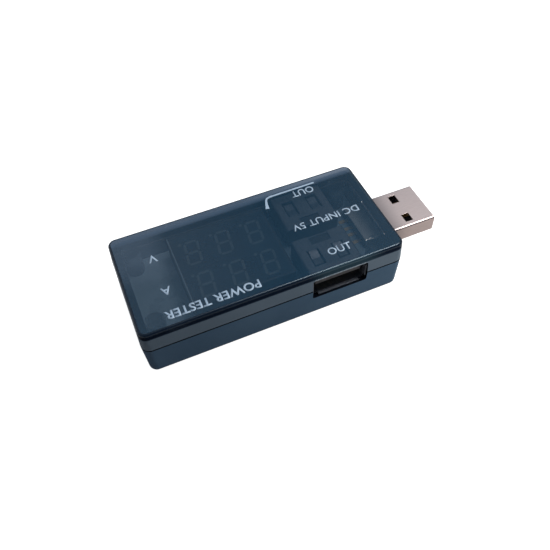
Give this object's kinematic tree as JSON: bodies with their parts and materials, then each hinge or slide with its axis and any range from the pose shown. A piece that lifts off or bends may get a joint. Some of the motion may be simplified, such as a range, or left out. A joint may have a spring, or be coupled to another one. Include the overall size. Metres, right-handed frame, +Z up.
{
  "type": "usb power meter",
  "caption": "Plug-in USB power meter in a smoky two-part case, with a plug on one end, a port on each long side and a two-row digit display under the cover.",
  "frame": {"origin": "middle of the whole length and width, plug included, on the surface the case rests on", "axes": "+X along the length, from the case towards the plug's tip; +Z up, out of the top cover; the front port faces -Y"},
  "size_m": [0.075, 0.0286, 0.015],
  "materials": {
    "smoky_plastic": "glossy top, satin sides, see-through",
    "nickel_steel": "satin nickel",
    "port_steel": "satin nickel",
    "black_plastic": "moulded",
    "gold_contact": "thin gold plate",
    "tinned_metal": "tinned",
    "board_white": "pale solder mask over fibreglass",
    "display_black": "moulded",
    "display_film": "dark film",
    "segment_resin": "unlit milky resin",
    "chip_black": "moulded epoxy",
    "resistor_black": "glass-coated",
    "capacitor_tan": "fired ceramic",
    "tantalum_yellow": "moulded epoxy",
    "pale_print": "printed ink"
  },
  "bodies": {
    "root": {"bottom_cover": "smoky_plastic", "top_cover": "smoky_plastic", "circuit_board": "board_white", "plug_shell": "nickel_steel", "plug_insulator": "black_plastic", "plug_contacts": "gold_contact", "front_port_shell": "port_steel", "front_port_insulator": "black_plastic", "front_port_tails": "tinned_metal", "back_port_shell": "port_steel", "back_port_insulator": "black_plastic", "back_port_tails": "tinned_metal", "display_housing": "display_black", "display_face": "display_film", "volt_segments": "segment_resin", "amp_segments": "segment_resin", "display_pins": "tinned_metal", "microcontroller": "chip_black", "microcontroller_leads": "tinned_metal", "current_amplifier": "chip_black", "amplifier_leads": "tinned_metal", "voltage_regulator": "chip_black", "regulator_leads": "tinned_metal", "shunt_resistor": "resistor_black", "shunt_terminals": "tinned_metal", "tantalum_capacitor": "tantalum_yellow", "tantalum_terminals": "tinned_metal", "chip_resistors": "resistor_black", "chip_capacitors": "capacitor_tan", "chip_terminals": "tinned_metal"},
    "front_contacts": {"front_port_contacts": "gold_contact"},
    "front_top_springs": {"front_port_top_springs": "port_steel"},
    "front_bottom_springs": {"front_port_bottom_springs": "port_steel"},
    "back_contacts": {"back_port_contacts": "gold_contact"},
    "back_top_springs": {"back_port_top_springs": "port_steel"},
    "back_bottom_springs": {"back_port_bottom_springs": "port_steel"}
  },
  "joints": [
    {"name": "front_contacts_flex", "type": "hinge", "parent": "root", "child": "front_contacts", "pos_m": [0.00785, -0.0057, 0.00975], "axis": [-1, 0, 0], "range_deg": [0, 4], "stiffness_Nm_per_rad": 0.2},
    {"name": "front_top_springs_flex", "type": "hinge", "parent": "root", "child": "front_top_springs", "pos_m": [0.00785, -0.0056, 0.01255], "axis": [-1, 0, 0], "range_deg": [0, 4], "stiffness_Nm_per_rad": 0.4},
    {"name": "front_bottom_springs_flex", "type": "hinge", "parent": "root", "child": "front_bottom_springs", "pos_m": [0.00785, -0.0056, 0.00715], "axis": [1, 0, 0], "range_deg": [0, 4], "stiffness_Nm_per_rad": 0.4},
    {"name": "back_contacts_flex", "type": "hinge", "parent": "root", "child": "back_contacts", "pos_m": [0.00855, 0.0057, 0.00975], "axis": [1, 0, 0], "range_deg": [0, 4], "stiffness_Nm_per_rad": 0.2},
    {"name": "back_top_springs_flex", "type": "hinge", "parent": "root", "child": "back_top_springs", "pos_m": [0.00855, 0.0056, 0.01255], "axis": [1, 0, 0], "range_deg": [0, 4], "stiffness_Nm_per_rad": 0.4},
    {"name": "back_bottom_springs_flex", "type": "hinge", "parent": "root", "child": "back_bottom_springs", "pos_m": [0.00855, 0.0056, 0.00715], "axis": [-1, 0, 0], "range_deg": [0, 4], "stiffness_Nm_per_rad": 0.4}
  ]
}
